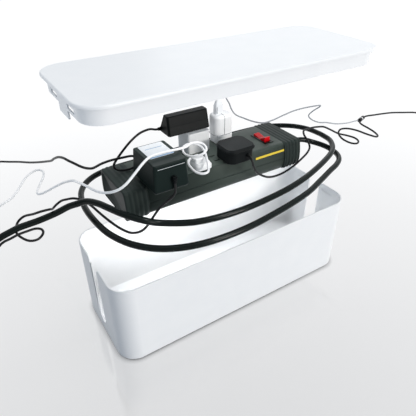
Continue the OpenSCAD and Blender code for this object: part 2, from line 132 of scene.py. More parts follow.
def rescaled(tree, value, start, end, low=0.0, high=1.0, kind="LINEAR"):
    """The number from low to high that stands for a value from start to end."""
    limits = {"Value": value, "From Min": start, "From Max": end, "To Min": low, "To Max": high}
    return shader_node(tree, "MapRange", limits, interpolation_type=kind).outputs["Result"]


# ---------------------------------------- materials

def rgb(r, g, b):
    """A colour given as it looks on a screen, 0 to 255, in the linear values that shaders take."""
    parts = []
    for value in (r, g, b):
        share = value / 255
        parts.append(share / 12.92 if share < 0.04045 else ((share + 0.055) / 1.055) ** 2.4)
    return (parts[0], parts[1], parts[2], 1.0)


def moulded(name, low, high, rough, uneven, grain, depth, metallic=0.0, coat=0.0, ior=1.5, specular=0.5):
    """Moulded plastic, rubber or metal: slow colour drift, uneven gloss and a fine grain of a depth in mm."""
    material = bpy.data.materials.new(name)
    material.use_nodes = True
    tree = material.node_tree
    shader = tree.nodes["Principled BSDF"]
    shader.inputs["Metallic"].default_value = metallic
    shader.inputs["Coat Weight"].default_value = coat
    shader.inputs["Coat Roughness"].default_value = 0.08
    shader.inputs["IOR"].default_value = ior
    shader.inputs["Specular IOR Level"].default_value = specular
    place = shader_node(tree, "TexCoord").outputs["Object"]
    drift = shader_node(tree, "TexNoise", {"Vector": place, "Scale": 38.0, "Detail": 3.0})
    tint = shader_node(tree, "Mix", {"Factor": drift.outputs["Fac"], "A": rgb(*low), "B": rgb(*high)},
                       data_type="RGBA")
    tree.links.new(tint.outputs["Result"], shader.inputs["Base Color"])
    fine = shader_node(tree, "TexNoise", {"Vector": place, "Scale": grain, "Detail": 4.0, "Roughness": 0.62})
    gloss = rescaled(tree, fine.outputs["Fac"], 0.3, 0.7, rough - uneven, rough + uneven)
    tree.links.new(gloss, shader.inputs["Roughness"])
    bump = shader_node(tree, "Bump", {"Height": fine.outputs["Fac"], "Strength": 0.35,
                                      "Distance": depth * MM})
    tree.links.new(bump.outputs["Normal"], shader.inputs["Normal"])
    return material


shell_white = moulded("shell_white", (240, 242, 244), (246, 247, 248), 0.34, 0.05, 1500, 0.03)
strip_dark = moulded("strip_dark", (52, 61, 57), (62, 70, 65), 0.44, 0.06, 2600, 0.08, ior=1.4, specular=0.22)
cap_dark = moulded("cap_dark", (36, 44, 43), (47, 54, 51), 0.42, 0.06, 2200, 0.08, ior=1.35, specular=0.12)
switch_black = moulded("switch_black", (14, 15, 16), (20, 21, 22), 0.34, 0.05, 2400, 0.04, specular=0.3)
rocker_red = moulded("rocker_red", (214, 10, 22), (232, 20, 30), 0.34, 0.04, 1800, 0.03, specular=0.3)
adapter_black = moulded("adapter_black", (15, 18, 19), (23, 26, 27), 0.42, 0.07, 3000, 0.12,
                        ior=1.35, specular=0.14)
adapter_green = moulded("adapter_green", (17, 27, 26), (24, 35, 33), 0.40, 0.06, 3000, 0.10,
                        ior=1.35, specular=0.14)
adapter_white = moulded("adapter_white", (240, 241, 242), (246, 247, 247), 0.28, 0.05, 1700, 0.03)
plug_clear = moulded("plug_clear", (226, 229, 232), (238, 240, 242), 0.16, 0.04, 1700, 0.02, coat=0.5)
label_white = moulded("label_white", (232, 238, 243), (248, 249, 250), 0.30, 0.05, 900, 0.02)
label_blue = moulded("label_blue", (120, 158, 196), (150, 182, 212), 0.34, 0.05, 900, 0.02)
label_yellow = moulded("label_yellow", (226, 196, 40), (240, 210, 60), 0.45, 0.05, 1400, 0.02)
seam_dark = moulded("seam_dark", (84, 92, 100), (98, 106, 114), 0.6, 0.05, 1400, 0.02)
seam_grey = moulded("seam_grey", (150, 156, 162), (168, 173, 178), 0.6, 0.05, 1400, 0.02)
cord_black = moulded("cord_black", (15, 21, 20), (22, 28, 27), 0.18, 0.03, 2400, 0.03,
                     ior=1.45, specular=0.18)
cord_dark = moulded("cord_dark", (24, 24, 26), (33, 33, 34), 0.42, 0.06, 2400, 0.03, specular=0.3)
cord_white = moulded("cord_white", (243, 244, 245), (249, 249, 250), 0.34, 0.05, 1800, 0.02)
cord_grey = moulded("cord_grey", (158, 162, 168), (176, 180, 186), 0.4, 0.05, 1800, 0.02)
rubber = moulded("pad_rubber", (24, 24, 25), (34, 34, 35), 0.8, 0.06, 2600, 0.1)
brass = moulded("contact_brass", (196, 160, 92), (214, 182, 116), 0.26, 0.06, 900, 0.02, metallic=1.0)
steel = moulded("screw_steel", (170, 171, 173), (194, 195, 196), 0.30, 0.06, 1200, 0.02, metallic=1.0)
wire_brown = moulded("wire_brown", (104, 62, 34), (122, 76, 44), 0.45, 0.05, 1800, 0.02)
wire_blue = moulded("wire_blue", (36, 78, 160), (48, 92, 176), 0.45, 0.05, 1800, 0.02)
wire_green = moulded("wire_green", (112, 160, 44), (136, 180, 60), 0.45, 0.05, 1800, 0.02)


# ---------------------------------------- mesh tools

def piece(name, points, faces, material, body, sharp=38.0):
    """A mesh from points in mm, smooth but for edges sharper than an angle, that rides a body."""
    mesh = bpy.data.meshes.new(name)
    mesh.from_pydata([Vector(p) * MM for p in points], [], faces)
    mesh.materials.append(material)
    for face in mesh.polygons:
        face.use_smooth = True
    mesh.set_sharp_from_angle(angle=math.radians(sharp))
    made = bpy.data.objects.new(name, mesh)
    bpy.context.scene.collection.objects.link(made)
    if body:
        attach(made, body)
    return made


def stands_for(node, slot, *made):
    """Hides the CAD node that the pieces replace; the slot is not used."""
    for part in made:
        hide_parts(node)


def circle(middle, side, other, radius, sides):
    """Points round a middle, in the plane of two directions."""
    angles = [2 * math.pi * k / sides for k in range(sides)]
    return [middle + (side * math.cos(a) + other * math.sin(a)) * radius for a in angles]


def skin(rings, count, closed=True, flip=False):
    """Faces between neighbouring rings of as many points each, and over both ends if closed."""
    faces = []
    for i in range(rings - 1):
        for k in range(count):
            n = (k + 1) % count
            faces.append([i * count + k, i * count + n, (i + 1) * count + n, (i + 1) * count + k])
    if closed:
        faces.append(list(reversed(range(count))))
        faces.append(list(range((rings - 1) * count, rings * count)))
    if flip:
        faces = [[face[0]] + face[:0:-1] for face in faces]
    return faces


def smooth(points, steps):
    """Vectors on a smooth line through the points, with some steps from each to the next."""
    points = [Vector(p) for p in points]
    line = []
    for i in range(len(points) - 1):
        a = points[max(i - 1, 0)]
        b = points[i]
        c = points[i + 1]
        d = points[min(i + 2, len(points) - 1)]
        for k in range(steps):
            t = k / steps
            line.append(0.5 * (2 * b + (c - a) * t + (2 * a - 5 * b + 4 * c - d) * t * t
                               + (3 * b - a - 3 * c + d) * t * t * t))
    line.append(points[-1])
    return line


def tube(name, line, diameter, material, body="strip", sides=12):
    """A round tube along a line, without twist."""
    line = [Vector(p) for p in line]
    points = []
    side = None
    for i, here in enumerate(line):
        way = (line[min(i + 1, len(line) - 1)] - line[max(i - 1, 0)]).normalized()
        if side is None:
            side = way.cross(Vector((1, 0, 0) if abs(way.z) > 0.95 else (0, 0, 1))).normalized()
        side = (side - way * side.dot(way)).normalized()
        points.extend(circle(here, side, side.cross(way), diameter / 2, sides))
    return piece(name, points, skin(len(line), sides, flip=True), material, body, sharp=60)


def lathe(name, start, axis, profile, material, body="strip", sides=28, closed=True):
    """A turned piece: (distance along the axis, radius) pairs from a start point."""
    axis = Vector(axis).normalized()
    side = axis.orthogonal().normalized()
    points = []
    for along, radius in profile:
        points.extend(circle(Vector(start) + axis * along, side, axis.cross(side), radius, sides))
    return piece(name, points, skin(len(profile), sides, closed), material, body, sharp=50)


def ring_of(x0, x1, y0, y1, r, z, steps=7):
    """A rounded rectangle at a height."""
    points = []
    corners = ((x1 - r, y1 - r), (x0 + r, y1 - r), (x0 + r, y0 + r), (x1 - r, y0 + r))
    for quarter_no, (x, y) in enumerate(corners):
        for k in range(steps + 1):
            a = math.radians(90 * quarter_no + 90 * k / steps)
            points.append((x + r * math.cos(a), y + r * math.sin(a), z))
    return points


def drawn_in(ring, inset, z):
    """A rounded rectangle (x0, x1, y0, y1, r, z) made smaller all round, at another height."""
    x0, x1, y0, y1, r = ring[:5]
    return (x0 + inset, x1 - inset, y0 + inset, y1 - inset, max(r - inset, 0.2), z)


def stack(name, rings, material, body="strip", top=1.5, base=0.6, steps=5):
    """A solid lofted through rounded rectangles (x0, x1, y0, y1, r, z), its top and base edges rounded."""
    angles = [math.pi / 2 * k / steps for k in range(steps + 1)]
    low = rings[0]
    high = rings[-1]
    full = [drawn_in(low, base * (1 - math.sin(a)), low[5] + base * (1 - math.cos(a))) for a in angles]
    full.extend(rings[1:-1])
    full.extend(drawn_in(high, top * (1 - math.cos(a)), high[5] - top * (1 - math.sin(a))) for a in angles)
    points = []
    for ring in full:
        points.extend(ring_of(*ring))
    made = piece(name, points, skin(len(full), len(points) // len(full)), material, body, sharp=180)
    weigh = made.modifiers.new("normals", "WEIGHTED_NORMAL")
    weigh.keep_sharp = True
    return made


def block(name, plan, r, z0, z1, material, body="strip", **edges):
    """An upright solid on a plan (x0, x1, y0, y1) with rounded corners and edges."""
    return stack(name, [(*plan, r, z0), (*plan, r, z1)], material, body, **edges)


def refined(name, node, material, body, passes):
    """A copy of a CAD node's shape, its edges rounded in passes: (width in mm, segments, which edges)."""
    mesh = nodes[node].data.copy()
    mesh.name = name
    mesh.materials.clear()
    mesh.materials.append(material)
    shape = bmesh.new()
    shape.from_mesh(mesh)
    bmesh.ops.remove_doubles(shape, verts=shape.verts, dist=0.004 * MM)
    bmesh.ops.dissolve_limit(shape, angle_limit=math.radians(0.6), verts=shape.verts, edges=shape.edges)
    for width, segments, wanted in passes:
        edges = []
        for edge in shape.edges:
            if len(edge.link_faces) != 2 or edge.calc_face_angle(0.0) < math.radians(28):
                continue
            if wanted(edge.verts[0].co / MM, edge.verts[1].co / MM):
                edges.append(edge)
        bmesh.ops.bevel(shape, geom=edges, offset=width * MM, offset_type="OFFSET", segments=segments,
                        profile=0.5, affect="EDGES", clamp_overlap=False, loop_slide=True, material=-1)
    shape.to_mesh(mesh)
    shape.free()
    for face in mesh.polygons:
        face.use_smooth = True
    made = bpy.data.objects.new(name, mesh)
    bpy.context.scene.collection.objects.link(made)
    weigh = made.modifiers.new("normals", "WEIGHTED_NORMAL")
    weigh.keep_sharp = True
    weigh.weight = 60
    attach(made, body)
    return made


# ---------------------------------------- cord tools

def kept_above(line, lowest):
    """A line with its low points raised to a lowest height."""
    return [Vector((p.x, p.y, max(p.z, lowest))) for p in line]


def ease(t):
    """A smooth step from 0 to 1."""
    t = min(max(t, 0.0), 1.0)
    return t * t * (3 - 2 * t)


def quarter_turn(t):
    """How far a quarter of a circle has gone sideways and up, at a share t of the way round."""
    a = math.pi / 2 * min(max(t, 0), 1)
    return 1 - math.cos(a), math.sin(a)


def fall(plan, start, end, diameter):
    """Heights for plan points of a cord that comes down from the strip's level to the table."""
    way = (end[0] - start[0], end[1] - start[1])
    points = []
    for x, y in plan:
        s = ((x - start[0]) * way[0] + (y - start[1]) * way[1]) / (way[0] ** 2 + way[1] ** 2)
        points.append((x, y, diameter / 2 + LYING_GAP + STRIP_RISE * (1 - ease(s))))
    return points


def let_down(cord, start, end):
    """Bakes a cord's placing into its mesh; the plan points where it comes down are not used."""
    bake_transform(cord)


def coil(middle, angle, way, turns, diameter, layout):
    """A coil on the table, from an angle: layout gives each turn's radius and height in cord diameters."""
    points = []
    for i in range(1, round(turns * 24) + 1):
        turn_no = (i - 1) // 24
        out, up = layout(i / 24 - turn_no)[turn_no]
        a = angle + way * 2 * math.pi * i / 24
        points.append((middle[0] + out * diameter * math.cos(a), middle[1] + out * diameter * math.sin(a),
                       diameter / 2 + LYING_GAP + up * diameter))
    return points


def mains_layout(t):
    """Four turns in two layers, at a share t of each."""
    inward, lift = quarter_turn((t - 0.8) / 0.2)
    return [(6 - inward, 0), (5, lift), (5 + ease((t - 0.5) / 0.3), 1), (6, 1)]


def thin_layout(t):
    """Seven turns in three layers, at a share t of each."""
    inward, lift = quarter_turn((t - 0.84) / 0.16)
    outward = ease((t - 0.70) / 0.14)
    return [(6.5 - inward, 0), (5.5 - inward, 0), (4.5, lift), (4.5 + outward, 1), (5.5 + outward, 1),
            (6.5, 1 + ease((t - 0.62) / 0.10)), (6.5 - ease(t / 0.22), 2)]


# ---------------------------------------- cord routes

# Routes in mm, from where each cord leaves the strip to its coil.
LOOP = [
    (96, 0, 222), (118, 0, 222), (141, 0, 222), (148, -0.3, 221.6), (158, -3, 220), (170, -10, 216),
    (180, -22, 213), (184, -36, 211), (181, -52, 210), (171, -66, 210), (155, -76, 210),
    (134, -84, 210), (104, -96, 210.5), (64, -111, 211), (10, -122, 211), (-50, -129, 211),
    (-105, -126, 211), (-145, -112, 211), (-172, -88, 211), (-188, -56, 211), (-194, -20, 211),
    (-194, 18, 211), (-186, 52, 211), (-166, 77, 211), (-135, 89, 211), (-75, 91, 211), (0, 91, 211),
    (75, 91, 211), (125, 89, 211), (158, 80, 212.5), (183, 58, 215), (194, 30, 218), (195, 0, 220),
    (189, -28, 221), (168, -53, 221), (132, -72, 221), (77, -91, 220), (24, -102, 220),
    (-43, -106, 220), (-96, -98, 220), (-134, -82, 223), (-155, -75, 231), (-171, -62, 237),
    (-181, -45, 239), (-189, -26, 238.5), (-197, -11, 235.5), (-206, -3, 231),
]
TAIL_AIR = [
    (-206.4, -2.7, 230.8), (-216, 4, 226.2), (-231, 8, 220), (-250, 11, 215.5), (-262, 13, 213.5),
    (-274, 15, 211.5), (-284, 15.5, 209),
]
TAIL_PLAN = [
    (-297, 15.5), (-315, 16), (-332, 17), (-350, 18), (-368, 19.5), (-386, 21.5), (-404, 24.5),
    (-422, 28), (-440, 32.5), (-453, 36),
]
TAIL_FALL = ((-290, 15.5), (-472, 40.5))
TAIL_END = [(-466, 39.6, 5.2), (-480, 42, 4.1)]
WHITE_AIR = [
    (-61.5, -24, 259), (-65, -25, 258.8), (-69, -31, 257.5), (-70, -40, 255.5), (-68, -48, 253),
    (-62, -54, 252), (-54.5, -54, 252.5), (-50, -47, 256), (-46, -37, 262), (-42.5, -26, 266),
    (-42, -16, 268), (-48, -9, 270), (-57, -7.5, 271), (-66, -12, 270), (-69.5, -22, 268),
    (-67.5, -32, 268), (-61, -40, 270), (-53, -42, 272.5), (-46.5, -37.5, 275), (-46.5, -30, 278),
    (-54, -27, 281), (-65, -31, 284), (-78, -41, 287), (-92, -46, 290), (-108, -46, 291),
    (-126, -47, 291), (-140, -54, 289), (-154, -62, 284), (-167, -66, 277), (-176, -61, 270),
    (-184, -48, 263), (-190, -32, 259), (-195, -17, 259), (-200, -8, 260.5), (-205, -2, 262),
    (-208, 14, 254), (-211, 36, 241), (-218, 54, 228), (-227, 66, 218), (-234, 75, 212),
    (-235, 86, 209), (-227, 105, 208), (-216, 126, 208), (-213, 142, 208), (-221, 149, 208),
    (-238, 136, 208), (-252, 114, 207), (-266, 97, 205), (-282, 89, 203.7),
]
WHITE_PLAN = [
    (-293, 87.5), (-305, 87.5), (-317, 89), (-330, 91), (-343, 93.5), (-356, 95.5), (-369, 97),
    (-382, 97.8), (-396, 98.2),
]
WHITE_FALL = ((-282, 89), (-387, 97))
BRICK_AIR = [
    (-109, -69, 261.9), (-109, -69.2, 257.5), (-109.5, -69.5, 251), (-113, -69.5, 245),
    (-121, -69, 240.5), (-130, -68, 234.5), (-138, -67, 225), (-146, -67.5, 216.5), (-156, -70, 213),
    (-167, -67.5, 213), (-175, -57, 215), (-182, -42, 219), (-187, -25, 222), (-192, -8, 226),
    (-199, 4, 230), (-206.5, 11, 231), (-213, 18, 228), (-218.5, 25.5, 223.5), (-225.5, 27.5, 218.5),
    (-231.5, 21.5, 218.5), (-234.5, 12, 225), (-239.5, 5, 230), (-247.5, 6.5, 229.5),
    (-255, 17, 222.5), (-264, 29, 215.5), (-273, 29, 209.5), (-278, 18, 204.6), (-275, 5, 203.8),
    (-268.5, -6.5, 204), (-259.5, -9.5, 204.7), (-252, -3, 205.6), (-251.5, 4.5, 206.6),
    (-257.5, 9, 207.2), (-267, 8.7, 207.5), (-277, 8, 207.4), (-286, 8, 205.2),
]
BRICK_PLAN = [
    (-297, 8), (-308, 7), (-320, 5.5), (-332, 3), (-344, 0), (-356, -3.5), (-368, -6.5), (-381, -9.3),
    (-394, -11), (-406, -11.4),
]
BRICK_FALL = ((-292, 8), (-396, -10))
WEDGE_AIR = [
    (-76.4, 36, 280), (-80.5, 35.5, 281), (-88, 32.5, 284.5), (-97, 29, 286), (-108, 26, 285),
    (-122, 22.5, 279), (-135, 18.5, 271), (-145, 16.5, 262.5), (-149.5, 15.5, 256),
    (-145.5, 13.5, 250.5), (-135, 11, 248.8), (-125, 10.5, 249.8), (-118, 10.5, 254.5),
    (-118.5, 10.5, 261), (-126, 10.5, 266), (-139, 10, 267.5), (-154, 7.5, 269.5), (-169, 1, 272),
    (-182, -9, 275), (-190, -13, 279), (-196, -11, 282), (-201, -6, 285), (-206, 2, 287),
    (-208, 12, 286), (-210, 27, 281), (-211, 48, 270), (-211, 70, 257), (-213, 95, 245),
    (-218, 122, 233), (-226, 150, 222), (-236, 176, 214), (-248, 197, 208), (-261, 214, 203.9),
]
WEDGE_PLAN = [
    (-269, 223), (-278, 232), (-288, 241), (-299, 249), (-311, 256), (-324, 262), (-338, 266.5),
    (-351, 269), (-360, 269.4),
]
WEDGE_FALL = ((-261, 214), (-342, 260))
GREY = [
    (13, 26, 307.1), (13, 26.2, 310.5), (15.5, 27, 313.5), (20, 28.5, 314), (25.5, 30.5, 309.5),
    (31, 33, 302), (38, 35, 292), (44, 37, 281), (51, 36, 272), (62, 32, 266), (72, 22, 262),
    (84, 13, 260), (100, 11, 261), (118, 12, 263), (140, 12, 266), (158, 9, 268), (174, 3, 270),
    (185, 0, 270), (188, 3, 266), (182, 9, 259), (175, 11, 252), (178, 6, 246), (189, 0, 241),
    (204, -2, 238), (225, -2, 231), (245, 2, 225), (265, 6, 220), (285, 11, 216), (302, 14, 213.4),
]
FLAT = [
    (9, -52.8, 256), (9, -56.5, 255), (9.5, -60, 250.5), (11.5, -61, 243), (17.5, -60.5, 233),
    (29, -58, 223), (44, -55, 214), (62, -51, 208.5), (80, -49, 208.5), (98, -47, 212),
    (114, -45, 218), (128, -41, 222), (138, -35, 226), (141.5, -26, 232), (143.5, -15, 237),
    (150, -7, 239), (160, -4, 238), (175, -1, 236), (189, 1, 233), (204, 2, 229), (219, 0.5, 221),
    (234, -5, 212.5), (246, -13, 209.2), (251.5, -25, 208.2), (248, -36, 208), (239, -41, 208),
    (231, -35, 208.5), (227.5, -21, 210.5), (230, -8.5, 214.5), (238, -4, 218.5), (248, -10, 220),
    (259, -21, 218), (270, -33, 213.5), (281, -43, 210), (289.5, -40.5, 209), (294, -29, 210),
    (296, -14, 211), (297, -1, 211.5), (299.3, 6.5, 212.2), (303, 10.2, 212.7),
]
RIGHT_AIR = [
    (321.6, 18.8, 213), (333, 20, 212.5), (348, 17, 212), (368, 14, 211), (391, 11, 209),
    (415, 4, 206.5), (441, -6, 203.9),
]
RIGHT_PLAN = [
    (449, -13), (457, -22), (464, -33), (470.5, -45), (476.5, -58), (482, -71), (487, -84),
    (490.5, -95), (493, -105),
]
RIGHT_FALL = ((441, -6), (484, -91))


# ---------------------------------------- mains cord

LOOP_SPLIT = 32     # the point of the loop where its outer strand ends and its inner one starts
LOOP_STEPS = 7      # steps from each point of the loop to the next
LOOP_LOW = 210.4    # lowest middle of the loop: it clears the box's floor when the strip is down
TURNS_AT = (-480, 90)
PLUG_X = -528       # where the coil's last turn runs straight on into the plug
PLUG_Z = 12.1       # height of the coil's second layer and of the plug's middle

# The two strands of the loop, which ride the strip.
outer_line = kept_above(smooth(LOOP[:LOOP_SPLIT + 1], LOOP_STEPS)[LOOP_STEPS:], LOOP_LOW)
inner_line = kept_above(smooth(LOOP[LOOP_SPLIT:], LOOP_STEPS), LOOP_LOW)
for name, line, keep in (("mains_outer", outer_line, 0.53), ("mains_inner", inner_line, 0.65)):
    strand = tube(name, line, MAINS_D, cord_black, "strip", sides=20)
    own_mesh(strand)
    stands_for("mains_loop", "cord_black", strand)

tail_line = smooth(TAIL_AIR + fall(TAIL_PLAN, *TAIL_FALL, MAINS_D) + TAIL_END, 5)
tail_line = kept_above(tail_line, MAINS_D / 2 + LEAST_GAP)
mains_tail = tube("mains_tail_tube", tail_line, MAINS_D, cord_black, None, sides=20)
let_down(mains_tail, *TAIL_FALL)
stands_for("mains_tail", "cord_black", mains_tail)

turns_points = TAIL_END[-1:] + coil(TURNS_AT, -math.pi / 2, -1, 3.25, MAINS_D, mains_layout)
turns_points.extend((PLUG_X, y, PLUG_Z) for y in (99, 108, 117, 126))
turns_line = kept_above(smooth(turns_points, 2), MAINS_D / 2 + LEAST_GAP)
mains_coil = tube("mains_coil_turns", turns_line, MAINS_D, cord_black, "box", sides=20)
stands_for("mains_coil", "cord_black", mains_coil)

x0, x1, _, y1, z0, z1 = extent("mains_plug")
mains_grip = block("mains_plug_grip", (x0, x1, y1 - 38, y1), 5, z0, z1, cord_black, "box", top=4.0, base=3.0)
relief = [(0, 4.3), (0.6, 4.7)]
for k in range(5):
    along = 4 * k
    r = 4.9 + 0.45 * k
    relief.extend([(along + 2, r), (along + 3.6, r + 0.1), (along + 4.0, r - 0.4), (along + 5.4, r - 0.4)])
relief.append((22.6, 7.0))
mains_sleeve = lathe("mains_plug_sleeve", (PLUG_X, 120, PLUG_Z), (0, 1, 0), relief, cord_black, "box")
plug_parts = [mains_grip, mains_sleeve]
# Five upright ribs on each side of the grip.
for side in (-1, 1):
    x = PLUG_X + 13 * side
    for k in range(5):
        y = 152 + 5 * k
        plug_parts.append(block(f"mains_plug_rib_{k}_{side + 1}", (x - 0.7, x + 0.7, y, y + 2.4), 0.6, 5, 19,
                                cord_black, "box", top=0.5, base=0.5, steps=2))
stands_for("mains_plug", "cord_black", *plug_parts)


# ---------------------------------------- thin cords

def connector(name, x, y, way, material):
    """A round device plug that lies on the table: a ribbed grip and a metal barrel."""
    start = (x, y, 4.6)
    grip = [(-4, 1.7), (-3.4, 2.2), (0, 2.6), (0.3, 3.6), (1.2, 4.3)]
    for k in range(5):
        along = 2.6 + 2.4 * k
        grip.extend([(along, 4.45), (along + 1.0, 4.45), (along + 1.3, 4.0), (along + 2.1, 4.0)])
    grip.extend([(15.0, 4.45), (17.4, 4.45), (18.0, 3.9)])
    barrel = [(17.6, 2.4), (17.8, 2.7), (26.9, 2.7), (27.4, 2.4), (27.4, 1.3), (20, 1.3)]
    return [lathe(name + "_grip", start, (way, 0, 0), grip, material, "box"),
            lathe(name + "_barrel", start, (way, 0, 0), barrel, steel, "box")]


def tie(name, middle, r, angle):
    """A flat tie round a thin cord's turns, at a radius and an angle of their coil."""
    half_width = 2.2
    rounds = 16
    section = []
    for k in range(rounds):
        a = 2 * math.pi * k / rounds
        bulge = 1 / max(abs(math.cos(a)), abs(math.sin(a))) ** 0.7
        section.append((r + 4.95 * math.cos(a) * bulge, max(4.65 + 4.85 * math.sin(a) * bulge, 0.05)))
    points = []
    for along in (-half_width, half_width):
        for out, z in section:
            points.append((middle[0] + out * math.cos(angle) - along * math.sin(angle),
                           middle[1] + out * math.sin(angle) + along * math.cos(angle), z))
    made = piece(name, points, skin(2, rounds, closed=False), seam_grey, "box")
    thick = made.modifiers.new("thick", "SOLIDIFY")
    thick.thickness = 0.5 * MM
    thick.offset = 0
    return made


def thin_cord(name, air, plan, ends, middle, angle, way, turns, plug_way, material, plug_material, slot):
    """A thin cord from its outlet down to its coil on the table, with its tie and its connector."""
    outer = 6.5 * THIN_D
    start = (middle[0] + outer * math.cos(angle), middle[1] + outer * math.sin(angle),
             THIN_D / 2 + LYING_GAP)
    turned = coil(middle, angle, way, turns, THIN_D, thin_layout)
    x, y, _ = turned[-1]
    run = [(x + plug_way * along, y, z) for along, z in ((6, 7.7), (12, 7.5), (17, 5.9), (20, 4.8))]
    line = smooth(air + fall(plan, *ends, THIN_D) + [start] + turned + run, 3)
    line = kept_above(line, THIN_D / 2 + LEAST_GAP)
    made = tube(name + "_cord_whole", line, THIN_D, material, None)
    let_down(made, *ends)
    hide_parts(name + "_cord", name + "_coil")
    plug = connector(name, x + 22 * plug_way, y, plug_way, plug_material)
    stands_for(name + "_connector", slot, *plug)
    band = tie(name + "_tie", middle, 5.5 * THIN_D, angle + 2.4)


NORTH = math.pi / 2
thin_cord("white", WHITE_AIR, WHITE_PLAN, WHITE_FALL, (-409, 118), -NORTH, -1, 6.5, 1,
          cord_white, cord_white, "cord_white")
thin_cord("brick", BRICK_AIR, BRICK_PLAN, BRICK_FALL, (-419, -31), NORTH, 1, 6.5, 1,
          cord_dark, cord_black, "cord_black")
thin_cord("wedge", WEDGE_AIR, WEDGE_PLAN, WEDGE_FALL, (-372, 250), NORTH, 1, 6.5, 1,
          cord_dark, cord_black, "cord_black")
thin_cord("right", RIGHT_AIR, RIGHT_PLAN, RIGHT_FALL, (474, -118), 0, -1, 6.25, -1,
          cord_dark, cord_black, "cord_black")

# The charger's cord and the flat plug's cord end in one joiner, and the right cord goes on from it.
for name, points, d, material, slot in (("grey", GREY, FINE_D, cord_grey, "cord_grey"),
                                        ("flat", FLAT, THIN_D, cord_dark, "cord_black")):
    line = smooth(points, 5)
    made = tube(name + "_lead", line, d, material)
    stands_for(name + "_cord", slot, made)
joiner_at = Vector((303, 12, 213))
joiner_way = Vector((math.cos(math.radians(20)), math.sin(math.radians(20)), 0))
joiner = lathe("joiner_body", joiner_at, joiner_way, [
    (0, 2.2), (0.5, 3.2), (1.2, 3.55), (7.6, 3.6), (8.2, 3.1), (10.6, 3.1), (11.2, 3.6), (18.2, 3.55),
    (18.9, 3.2), (19.4, 2.0)], cord_dark)
stands_for("inline_joiner", "cord_black", joiner)
collar = lathe("joiner_collar", joiner_at + joiner_way * 8.1, joiner_way,
               [(0, 3.1), (0.2, 3.55), (2.4, 3.55), (2.6, 3.1)], adapter_white)
stands_for("inline_joiner", "adapter_white", collar)


# ---------------------------------------- box and lid

_, BOX_HALF_L, _, BOX_HALF_W, _, _ = extent("base_box")


def both_above(z):
    """Picks edges that lie above a height."""
    return lambda a, b: min(a.z, b.z) > z


def box_foot(a, b):
    """The edges round the underside of the box, in a border 25 mm wide."""
    return max(a.z, b.z) < 1.6 and max(abs(a.x) - BOX_HALF_L, abs(a.y) - BOX_HALF_W) > -25


def box_rims(a, b):
    """The edges of the rim and the slots, but not those of the snap ribs, 122 mm up."""
    return min(a.z, b.z) > 5 and abs(a.z - 122) > 2.6 or min(a.z, b.z) > 125


box = refined("box_shell", "base_box", shell_white, "box", [(1.4, 4, box_foot), (0.7, 3, box_rims)])
stands_for("base_box", "shell_white", box)
lid = refined("lid_shell", "lid", shell_white, "lid", [
    (2.0, 5, both_above(LID_TOP - 0.1)),
    (0.45, 2, lambda a, b: max(a.z, b.z) < LID_TOP - 1.7),
])
stands_for("lid", "shell_white", lid)
pad_profile = [(0.0, 4.6), (0.05, 6.2), (0.35, 6.8), (0.9, 7.0), (2.3, 7.0)]
for k, (x, y) in enumerate(((-170, -50), (-170, 50), (170, -50), (170, 50))):
    pad = lathe(f"pad_{k}", (x, y, 0), (0, 0, 1), pad_profile, rubber, "box")
    stands_for("rubber_feet", "pad_rubber", pad)


# ---------------------------------------- power strip

STRIP_HALF = 39     # half of the strip's width where it is widest
WIDEST = 12         # how high up that is
FOOT_H = 1.8        # height where the flank starts, above the bevel round the underside
SHOULDER = 35.2     # height where the flank ends and the top's round edge starts
CAP_L = 30          # length of an end cap
CAP_T = 1.4         # how far a cap stands out round the shells
RIBS_AT = (8, 14, 20, 26)
RIB_HALF = 2.7      # half of a grip rib's width


def half_at(h):
    """Half width of the strip's section at a height above its underside."""
    if h < WIDEST:
        return STRIP_HALF - 5 * ((WIDEST - h) / WIDEST) ** 2
    return STRIP_HALF - 4.5 * ((h - WIDEST) / (STRIP_H - WIDEST)) ** 2


def outline(stand, over):
    """The strip's section as (y, height), standing out by some mm at the sides and over the top."""
    side = [(half_at(FOOT_H) + stand - 1.8, 0), (half_at(FOOT_H) + stand - 0.6, 0.5)]
    for k in range(15):
        h = FOOT_H + (SHOULDER - FOOT_H) * k / 14
        side.append((half_at(h) + stand, h))
    for k in range(1, 8):
        a = math.pi / 2 * k / 7
        y = half_at(SHOULDER) + stand - 4.0 * (1 - math.cos(a))
        side.append((y, SHOULDER + (4.8 + over) * math.sin(a)))
    flat = side[-1][0]
    side.extend((flat * (1 - k / 4), STRIP_H + over) for k in range(1, 4))
    return side + [(0, STRIP_H + over)] + [(-y, h) for y, h in reversed(side)]


def end_cap(name, outer, way, node):
    """An end cap with soft grip ribs round it and a sunk face, from its outer end along +X or -X."""
    sections = []
    for x, narrow, low, h0 in ((0.9, 0.90, 0.91, 3.4), (0.0, 0.93, 0.95, 2.2)):
        sections.append((x, [(y * narrow, h0 + (h - h0) * low) for y, h in outline(-1.0, -2.0)]))
    for x, swell, over in ((0.0, -1.3, -0.6), (0.25, -0.75, -0.3), (0.8, -0.25, -0.1), (1.6, 0.0, 0.0)):
        sections.append((x, outline(CAP_T + swell, over)))
    steps = 96
    for k in range(1, steps + 1):
        x = 1.6 + (CAP_L - 1.6 - 0.6) * k / steps
        away = min(abs(x - middle) for middle in RIBS_AT)
        wave = math.cos(away / RIB_HALF * math.pi / 2) ** 1.4 if away < RIB_HALF else 0.0
        sections.append((x, outline(CAP_T + wave * 1.2, wave * 0.22)))
    sections.append((CAP_L, outline(CAP_T - 0.5, -0.2)))
    sections.append((CAP_L, outline(0.05, 0.0)))
    points = [(outer + way * x, y, STRIP_Z + h) for x, section in sections for y, h in section]
    count = len(sections[0][1])
    faces = skin(len(sections), count, closed=False, flip=way > 0)
    faces.append(list(range(count)) if way > 0 else list(reversed(range(count))))
    stands_for(node, "cap_dark", piece(name, points, faces, cap_dark, "strip", sharp=42))


